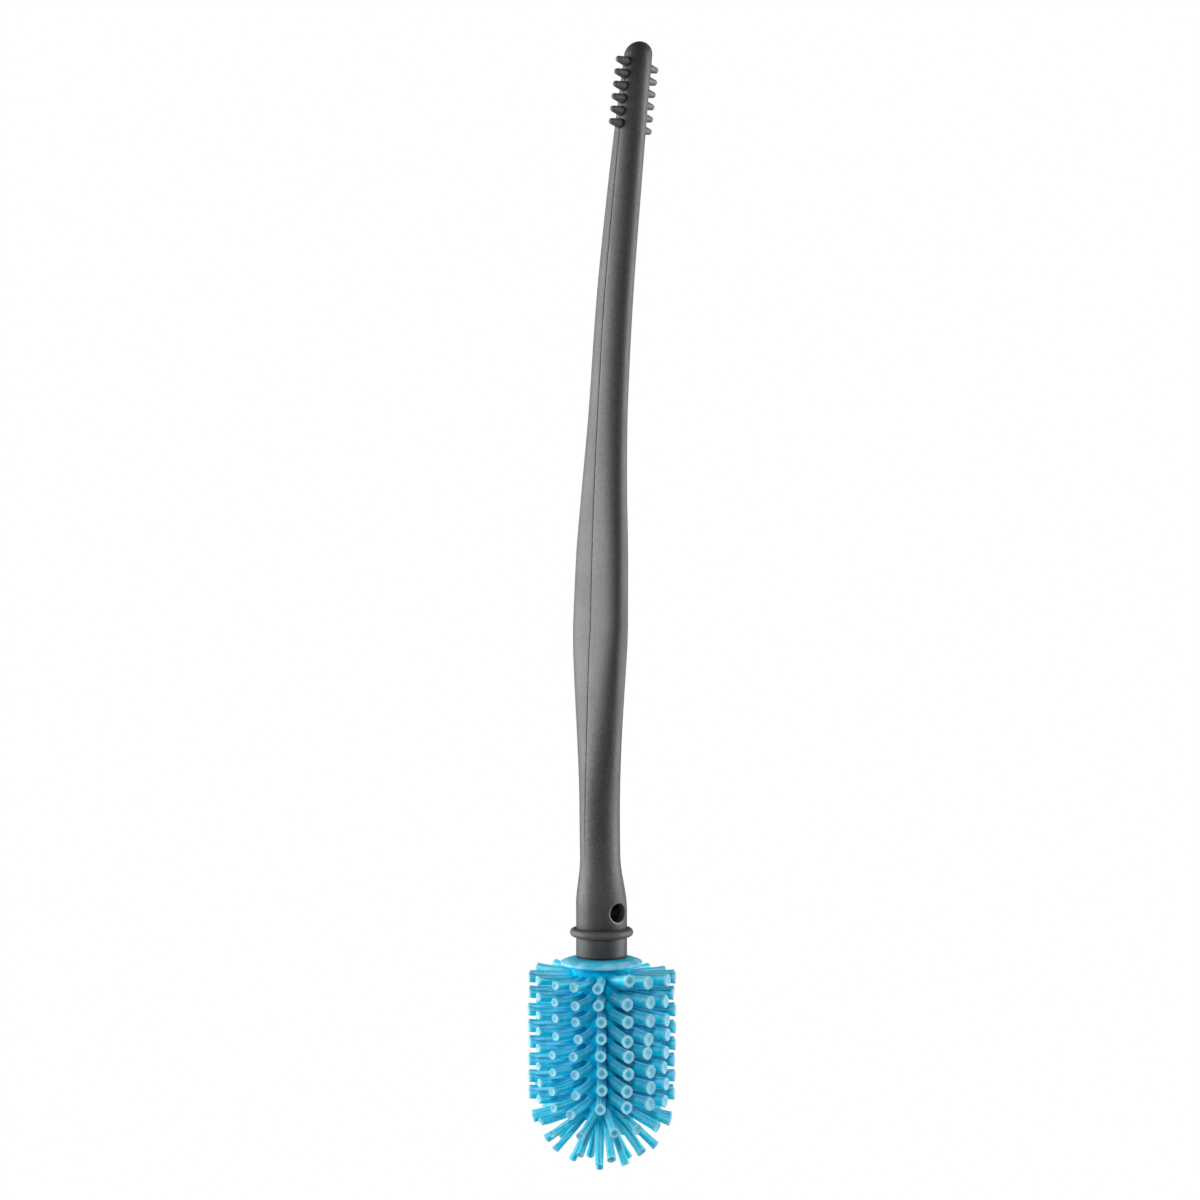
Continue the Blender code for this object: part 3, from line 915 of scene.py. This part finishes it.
def mixed(tree, share, first, second):
    """A mix of two colours, each of which is a colour or a socket."""
    return add(tree, "ShaderNodeMix", {0: share, 6: first, 7: second}, data_type="RGBA").outputs[2]


def layered(tree, tone, layers):
    """A tone mixed with the colour of each layer in turn, by the product of the layer's shares."""
    for colour, *shares in layers:
        tone = mixed(tree, product(tree, *shares), tone, colour)
    return tone


def bumped(tree, layers):
    """Bump layers of (height socket, strength, distance), one over the other."""
    normal = {}
    for height, strength, distance in layers:
        inputs = {"Height": height, "Strength": strength, "Distance": distance, **normal}
        normal = {"Normal": add(tree, "ShaderNodeBump", inputs).outputs[0]}
    return normal


def shade(colour, share):
    """A colour made lighter or darker by a share."""
    return (*(min(c * share, 1.0) for c in colour[:3]), 1.0)


def blend(first, second, share):
    """A colour this share of the way from the first to the second."""
    return tuple(a + (b - a) * share for a, b in zip(first, second))


def hole_painted_shade(tree, x, y, z):
    """Painted shade: 1 deep in the hanging hole, whose wall is painted dark, and 0 elsewhere."""
    inside = between(tree, off_axis(tree, x, z), *HOLE_WALL, 1, 0)
    return product(tree, inside, between(tree, math(tree, "ABSOLUTE", y), *HOLE_MIDDLE, 1, 0))


def mouth_highlight(tree, x, y, z):
    """1 on the painted highlight round the hanging hole's mouths, less towards +X and up, and 0 elsewhere."""
    ring = banded(tree, off_axis(tree, x, z), MOUTH_COMES, MOUTH_GOES)
    slant = between(tree, math(tree, "ADD", x, z), *MOUTH_SLANT, 1, 0.1)
    return product(tree, ring, slant, between(tree, math(tree, "ABSOLUTE", y), *MOUTH_STARTS, 0, 1))


def matte_plastic(colours):
    """Dark grey plastic with a fine spark-eroded grain and a darker mould line, with painted shade at the
    foot, the tip, the nubs' roots and deep in the hanging hole, painted light over the grip and a painted
    highlight on the hole's mouths.
    """
    colour = tuple(colours.plastic)
    made, tree, shader = surface("matte_grey_plastic", colour, {})
    place, (x, y, z) = object_place(tree)
    along = marking(tree, "along")
    cloudy = noise(tree, place, 55, 3)
    drawn_out = add(tree, "ShaderNodeVectorMath", {0: place, 1: (1, 1, 0.35)}, operation="MULTIPLY")
    speck = noise(tree, drawn_out.outputs[0], 2400, 2, 0.6)
    grain = noise(tree, place, 2600, 3, 0.7)
    peel = noise(tree, place, 420, 2)
    pebble = between(tree, noise(tree, place, 3400, 1), 0.38, 0.62, 0, 1)
    nub_skin = between(tree, along, *NUB_SKIN_COMES, 0, 1)
    freckled = product(tree, between(tree, speck, 0.36, 0.64, 0, 0.8), between(tree, nub_skin, 0, 1, 1, 0.1))
    not_bead = between(tree, off_axis(tree, x, y), *BEAD_EDGE, 1, 0.25)
    line = between(tree, math(tree, "ABSOLUTE", y), *LINE_EDGE, 1, 0)
    line = product(tree, line, banded(tree, z, LINE_COMES, LINE_GOES))
    hole = hole_painted_shade(tree, x, y, z)
    cloud = between(tree, cloudy, 0.3, 0.7, 0, 1)
    tone = mixed(tree, cloud, shade(colour, 0.88), shade(colour, 1.14))
    layers = (
        (shade(colour, 1.75), freckled),
        # Painted shade over the bell's foot and the stub, kept off the bead
        (shade(colour, 0.35), not_bead, between(tree, z, *FOOT_SHADE_GOES, 0.75, 0)),
        # Painted shade over the tip
        (shade(colour, 0.4), between(tree, z, *TIP_SHADE_COMES, 0, 0.5)),
        # Painted light over the grip
        (shade(colour, 2), banded(tree, z, GRIP_LIGHT_COMES, GRIP_LIGHT_GOES), 0.24),
        (shade(colour, 0.15), line, between(tree, peel, 0.35, 0.65, 0.4, 0.85)),
        (mixed(tree, pebble, shade(colour, 1.4), shade(colour, 2.6)), nub_skin, 0.9),
        # Painted shade round each nub's root
        (shade(colour, 0.2), banded(tree, along, NUB_ROOT_SHADE_COMES, NUB_ROOT_SHADE_GOES), 0.75),
        # Painted shade deep in the hanging hole
        (shade(colour, 0.1), hole),
        # Painted highlight on the edge of the hole's mouths
        (shade(colour, 5.5), mouth_highlight(tree, x, y, z), 0.75),
    )
    join(
        tree, shader,
        {
            "Base Color": layered(tree, tone, layers),
            "Roughness": between(tree, cloudy, 0.3, 0.7, 0.46, 0.56),
            "Specular IOR Level": between(tree, math(tree, "MAXIMUM", hole, line), 0, 1, 0.5, 0.03),
            **bumped(tree, [(peel, 0.14, 0.0002), (grain, 0.9, 0.00008)]),
        },
    )
    return made


def shaded_dish_share(tree, x, y):
    """Painted shade on a finger's dish floor: most near the shaded-dish directions and at the lowest finger.
    """
    turn = math(tree, "SUBTRACT", math(tree, "ARCTAN2", y, x), radians(SHADED_DISH_ANGLE))
    quarter = between(tree, math(tree, "COSINE", product(tree, turn, 4.0)), -0.6, 0.5, 0.1, 1)
    lowest = between(tree, off_axis(tree, x, y), *AXIS_END_GOES, 1, 0)
    stray = between(tree, marking(tree, "wander"), -0.5, 0.5, 0.75, 1)
    return product(tree, math(tree, "MAXIMUM", quarter, lowest), stray)


def soft_silicone(colours):
    """Blue silicone that lets light through: deep at the roots, partly as painted shade among them, pale at
    the thin rims of the ends, partly as painted light through them, and painted light, highlights and shade
    elsewhere.
    """
    middle, deep, pale = tuple(colours.silicone), tuple(colours.silicone_deep), tuple(colours.silicone_pale)
    uniform = {
        "Specular IOR Level": 0.1, "Sheen Weight": 0.06, "Sheen Roughness": 0.45,
        "Sheen Tint": (0.4, 0.85, 1.0, 1.0), "Subsurface Weight": 0.35,
        "Subsurface Radius": (0.25, 0.85, 1.0), "Subsurface Scale": 0.0016,
    }
    made, tree, shader = surface("soft_blue_silicone", middle, uniform)
    place, (x, y, z) = object_place(tree)
    along, dish, upward = (marking(tree, name) for name in ("along", "dish", "upward"))
    cloudy = noise(tree, place, 240, 3)
    streaks = noise(tree, place, 900, 3, 0.6)
    skin = noise(tree, place, 1500, 2, 0.6)
    away = off_axis(tree, x, y)
    flange = between(tree, z, *FLANGE_COMES, 0, 1)
    outer = math(tree, "MAXIMUM", product(tree, flange, 0.3), between(tree, along, 0.1, 0.4, 0, 1))
    streak = between(tree, streaks, 0.52, 0.74, 0, 0.5)
    lip_highlight = between(tree, away, *LIP_HIGHLIGHT_COMES, 0, 1)
    gloss_line = banded(tree, upward, (0.05, 0.4), (0.55, 0.9))
    edge = between(tree, math(tree, "ABSOLUTE", upward), 0.86, 1.0, 0, 0.75)
    # Share of painted shade on each end's dish floor; the rest of the ends get the filled, shaded look
    opened = shaded_dish_share(tree, x, y)
    dish_floor_shade = product(tree, between(tree, dish, 0.25, 0.85, 0, 1), opened)
    layers = (
        # Painted light on the flange's upper side
        (blend(middle, pale, 0.25), flange, 0.5),
        (shade(middle, 1.18), between(tree, cloudy, 0.35, 0.7, 0, 0.6)),
        (pale, streak, outer),
        # Painted shade over the flange, most beside the stub
        (shade(deep, 0.72), flange, between(tree, away, *FLANGE_SHADE_GOES, 0.65, 0.15)),
        # Painted highlight on the flange's lip
        (pale, flange, lip_highlight, between(tree, cloudy, 0.38, 0.66, 0.1, 0.65)),
        # Painted shade round the stub's foot
        (shade(deep, 0.6), flange, between(tree, away, *STUB_SHADE_GOES, 1, 0)),
        # Painted highlight along the upper side of each finger
        (pale, gloss_line, outer, between(tree, cloudy, 0.3, 0.6, 0.15, 0.6)),
        # Painted sheen along each finger's upper and lower lines
        (pale, edge, between(tree, along, 0.05, 0.3, 0, 1)),
        # Painted shade on the dish floors of the ends near the shaded-dish directions
        (deep, dish_floor_shade, 0.6),
        # Pale end faces and rims: partly the thinner silicone, partly painted light coming through it
        (pale, between(tree, along, 0.93, 1.0, 0, 0.9), left_over(tree, dish_floor_shade)),
        # Painted shade over the ends painted as filled, between the shaded-dish directions
        (
            shade(middle, 0.55), between(tree, along, 0.97, 1.0, 0, 1), left_over(tree, opened),
            between(tree, streaks, 0.4, 0.6, 0.3, 0.5),
        ),
        # Painted shade over the dome's fingers
        (shade(middle, 0.7), between(tree, z, *DOME_SHADE_GOES, 0.35, 0)),
    )
    # Deeper on the trunk and towards the roots: partly the thicker silicone, partly painted shade among the
    # roots
    tone = mixed(tree, between(tree, along, 0.05, 0.5, 0, 1), deep, middle)
    join(
        tree, shader,
        {
            "Base Color": layered(tree, tone, layers),
            "Roughness": between(tree, cloudy, 0.3, 0.7, 0.32, 0.42),
            **bumped(tree, [(skin, 0.12, 0.00008)]),
        },
    )
    return made


def floor_surface(grey):
    """A pale matt floor, white to the camera but for the brush's shadow near it, and clear from below."""
    matt = {"Roughness": 0.9, "Specular IOR Level": 0.0}
    made, tree, shader = surface("pale_floor", (grey, grey, grey, 1), matt)
    _, (x, y, _) = object_place(tree)
    bright = between(tree, off_axis(tree, x, y), *FLOOR_SHADOW_GOES, 0.85, 1)
    seen = product(tree, add(tree, "ShaderNodeLightPath").outputs["Is Camera Ray"], bright)
    glow = add(tree, "ShaderNodeEmission", {"Strength": 1.0}).outputs[0]
    above = add(tree, "ShaderNodeMixShader", {0: seen, 1: shader.outputs[0], 2: glow}).outputs[0]
    behind = add(tree, "ShaderNodeNewGeometry").outputs["Backfacing"]
    clear = add(tree, "ShaderNodeBsdfTransparent").outputs[0]
    sided = add(tree, "ShaderNodeMixShader", {0: behind, 1: above, 2: clear}).outputs[0]
    join(tree, tree.nodes["Material Output"], {"Surface": sided})
    return made


def kept_material(name, make):
    """The material of this name, made once."""
    return bpy.data.materials.get(name) or make(bpy.context.scene.brush_finishes)


# Stage


def floor_piece():
    """A square floor below the brush, whose one face looks up."""
    ways = ((-1, -1), (1, -1), (1, 1), (-1, 1))
    corners = [(x * FLOOR_REACH, y * FLOOR_REACH, FLOOR_HEIGHT) for x, y in ways]
    mesh = bpy.data.meshes.new("floor")
    mesh.from_pydata(corners, [], [(0, 1, 2, 3)])
    return linked_object("floor", mesh)


def white_world(level):
    """White behind the brush, and a plain level of light from all round that is lower overhead."""
    world = bpy.data.worlds.new("studio_world")
    world.use_nodes = True
    tree = world.node_tree
    tree.nodes.clear()
    rays = add(tree, "ShaderNodeLightPath").outputs
    seen = math(tree, "MAXIMUM", rays["Is Camera Ray"], rays["Is Transmission Ray"])
    height = axes(tree, add(tree, "ShaderNodeTexCoord").outputs["Generated"])[2]
    strength = between(tree, height, 0.1, 0.95, level, level * OVERHEAD_SHARE)
    lit, white = (
        add(tree, "ShaderNodeBackground", {"Color": (1, 1, 1, 1), "Strength": value}).outputs[0]
        for value in (strength, 1.0)
    )
    mix = add(tree, "ShaderNodeMixShader", {0: seen, 1: lit, 2: white}).outputs[0]
    add(tree, "ShaderNodeOutputWorld", {"Surface": mix})
    bpy.context.scene.world = world


def aimed_lamp(name, kind, studio, bearing, distance, height, aim, power):
    """A lamp at a bearing in degrees to the right of the camera, aimed at a height on the brush's axis."""
    angle = studio.camera_azimuth + radians(bearing)
    place = Vector((sin(angle) * distance, -cos(angle) * distance, height))
    data = bpy.data.lights.new(name, kind)
    data.energy = power
    lamp = linked_object(name, data)
    lamp.location = place
    lamp.rotation_euler = (Vector((0, 0, aim)) - place).to_track_quat("-Z", "Y").to_euler()
    lamp.visible_camera = False
    return data


def side_lamp(name, studio, bearing, width, power):
    """A tall soft lamp beside the brush."""
    data = aimed_lamp(name, "AREA", studio, bearing, LAMP_DISTANCE, LAMP_HEIGHT, LAMP_HEIGHT, power)
    data.shape = "RECTANGLE"
    data.size = width
    data.size_y = LAMP_TALL


def head_lamp(studio):
    """A soft spot from above and in front, whose beam covers the head alone."""
    data = aimed_lamp(
        "head_lamp", "SPOT", studio, HEAD_LAMP_BEARING, HEAD_LAMP_DISTANCE, HEAD_LAMP_HEIGHT, HEAD_LAMP_AIM,
        studio.head_power,
    )
    data.spot_size = radians(HEAD_LAMP_BEAM)
    data.spot_blend = HEAD_LAMP_BLEND
    data.shadow_soft_size = HEAD_LAMP_SIZE


def photo_camera(studio):
    """A level camera at the photograph's angle."""
    data = bpy.data.cameras.new("camera")
    data.sensor_width = SENSOR_WIDTH
    data.lens = studio.camera_lens
    data.clip_start, data.clip_end = CAMERA_SEES
    camera = linked_object("camera", data)
    azimuth = studio.camera_azimuth
    back = Vector((sin(azimuth), -cos(azimuth), 0))
    right = Vector((cos(azimuth), sin(azimuth), 0))
    camera.location = back * studio.camera_distance - right * studio.aim_offset
    camera.location.z = studio.camera_height
    camera.rotation_euler = (pi / 2, 0, azimuth)
    bpy.context.scene.camera = camera


# Operators


class BRUSH_OT_handle(bpy.types.Operator):
    """Build the moulded handle with its bell, hanging hole, bead, stub and spigot"""

    bl_idname = "brush.handle"
    bl_label = "Handle"

    def execute(self, context):
        sizes = context.scene.brush_handle
        piece = handle_shell(sizes)
        cutter = hole_cutter(sizes)
        cut = piece.modifiers.new("hanging_hole", "BOOLEAN")
        cut.operation = "DIFFERENCE"
        cut.solver = "EXACT"
        cut.object = cutter
        settle(piece)
        bpy.data.objects.remove(cutter)
        smooth(piece, HANDLE_SHARP)
        piece.data.materials.clear()
        piece.data.materials.append(kept_material("matte_grey_plastic", matte_plastic))
        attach(piece, HANDLE_BODY)
        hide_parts(HANDLE_NODE)
        return {"FINISHED"}


class BRUSH_OT_nubs(bpy.types.Operator):
    """Build the two rows of cleaning nubs at the handle's tip"""

    bl_idname = "brush.nubs"
    bl_label = "Cleaning nubs"

    def execute(self, context):
        sizes = context.scene.brush_handle
        plants = []
        for side in (-1, 1):
            direction = Vector((side * cos(sizes.nub_tilt), 0, -side * sin(sizes.nub_tilt)))
            for i in range(sizes.nubs_a_side):
                height = HANDLE_TOP - sizes.nub_top_drop - i * sizes.nub_pitch
                inside = direction * section_at(height)[0] / 2
                plants.append(Plant(Vector((sweep_at(height), 0, height)) + inside, direction))
        piece = seedling("cleaning_nubs", plants)
        grow(
            piece, nub_tree(),
            {
                "Length": sizes.nub_length, "Diameter": sizes.nub_base, "Sides": NUB_SIDES, "Seed": 1,
                "Material": kept_material("matte_grey_plastic", matte_plastic),
            },
        )
        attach(piece, HANDLE_BODY)
        return {"FINISHED"}


class BRUSH_OT_core(bpy.types.Operator):
    """Build the silicone sock with its flange and domed end"""

    bl_idname = "brush.core"
    bl_label = "Head core"

    def execute(self, context):
        piece = head_core(context.scene.brush_head)
        smooth(piece, CORE_SHARP)
        piece.data.materials.append(kept_material("soft_blue_silicone", soft_silicone))
        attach(piece, HEAD_BODY)
        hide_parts(*HEAD_NODES)
        return {"FINISHED"}


class BRUSH_OT_fingers(bpy.types.Operator):
    """Build the rows of soft fingers and the fingers of the domed end"""

    bl_idname = "brush.fingers"
    bl_label = "Head fingers"

    def execute(self, context):
        sizes = context.scene.brush_head
        piece = seedling("head_fingers", finger_plants())
        grow(
            piece, finger_tree(),
            {
                "Length": FINGER_REACH - FINGER_ROOT, "Diameter": sizes.finger_tip, "Dish": sizes.finger_dish,
                "Flash": sizes.finger_flash, "Sides": sizes.finger_sides, "Wander": sizes.finger_wander,
                "Seed": sizes.seed, "Material": kept_material("soft_blue_silicone", soft_silicone),
            },
        )
        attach(piece, HEAD_BODY)
        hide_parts(*[name for name in HEAD_NODES if name != FLANGE_NODE])
        return {"FINISHED"}


class BRUSH_OT_stage(bpy.types.Operator):
    """Build the floor, the lamps, the white surroundings and the camera"""

    bl_idname = "brush.stage"
    bl_label = "Stage"

    def execute(self, context):
        studio = context.scene.brush_studio
        floor = floor_piece()
        floor.data.materials.append(floor_surface(FLOOR_GREY))
        white_world(studio.ambient)
        side_lamp("left_lamp", studio, *LEFT_LAMP, studio.left_power)
        side_lamp("right_lamp", studio, *RIGHT_LAMP, studio.right_power)
        head_lamp(studio)
        photo_camera(studio)
        context.scene.view_settings.view_transform = "Standard"
        return {"FINISHED"}


class BRUSH_PT_panel(bpy.types.Panel):
    """Sizes, finishes and builders of the bottle brush"""

    bl_idname = "BRUSH_PT_panel"
    bl_label = "Bottle Brush"
    bl_space_type = "VIEW_3D"
    bl_region_type = "UI"
    bl_category = "Bottle Brush"

    def draw(self, context):
        layout = self.layout
        for operator in OPERATORS:
            layout.operator(operator.bl_idname)
        for name, group in SETTINGS.items():
            box = layout.box()
            box.label(text=group.__doc__)
            settings = getattr(context.scene, name)
            for label in group.__annotations__:
                box.prop(settings, label)


OPERATORS = (BRUSH_OT_handle, BRUSH_OT_nubs, BRUSH_OT_core, BRUSH_OT_fingers, BRUSH_OT_stage)
SETTINGS = {
    "brush_handle": HandleSizes,
    "brush_head": HeadSizes,
    "brush_finishes": Finishes,
    "brush_studio": StudioSettings,
}
CLASSES = (*SETTINGS.values(), *OPERATORS, BRUSH_PT_panel)


def register():
    for item in CLASSES:
        bpy.utils.register_class(item)
    for name, group in SETTINGS.items():
        setattr(bpy.types.Scene, name, PointerProperty(type=group))


def unregister():
    for name in SETTINGS:
        delattr(bpy.types.Scene, name)
    for item in reversed(CLASSES):
        bpy.utils.unregister_class(item)


def main():
    register()
    bpy.ops.brush.handle()
    bpy.ops.brush.nubs()
    bpy.ops.brush.core()
    bpy.ops.brush.fingers()
    bpy.ops.brush.stage()


if __name__ == "__main__":
    main()
